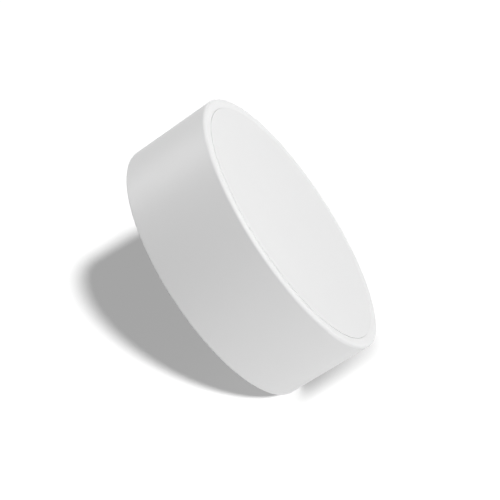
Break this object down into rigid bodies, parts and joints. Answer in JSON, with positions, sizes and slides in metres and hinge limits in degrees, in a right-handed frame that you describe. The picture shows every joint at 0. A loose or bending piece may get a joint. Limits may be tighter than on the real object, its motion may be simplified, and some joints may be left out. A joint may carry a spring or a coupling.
{
  "type": "hockey puck",
  "caption": "White moulded off-ice hockey puck: smooth cylindrical housing with a rounded lip, an inset snap-in face plate and a bolted steel weight inside.",
  "frame": {"origin": "centre of the flat rear face", "axes": "+Z along the puck's axis, out of the inset front face; +X through one of the ballast screws"},
  "size_m": [0.0762, 0.0762, 0.0254],
  "materials": {
    "housing_plastic": "satin",
    "face_plastic": "satin",
    "ballast_steel": "satin",
    "damper_foam": "matte",
    "seal_rubber": "satin",
    "fastener_steel": "satin",
    "insert_brass": "satin"
  },
  "bodies": {
    "root": {"housing": "housing_plastic", "face_plate": "face_plastic", "face_seal": "seal_rubber", "ballast": "ballast_steel", "lower_damper": "damper_foam", "upper_damper": "damper_foam", "ballast_screws": "fastener_steel", "screw_washers": "fastener_steel", "threaded_inserts": "insert_brass"}
  },
  "joints": []
}
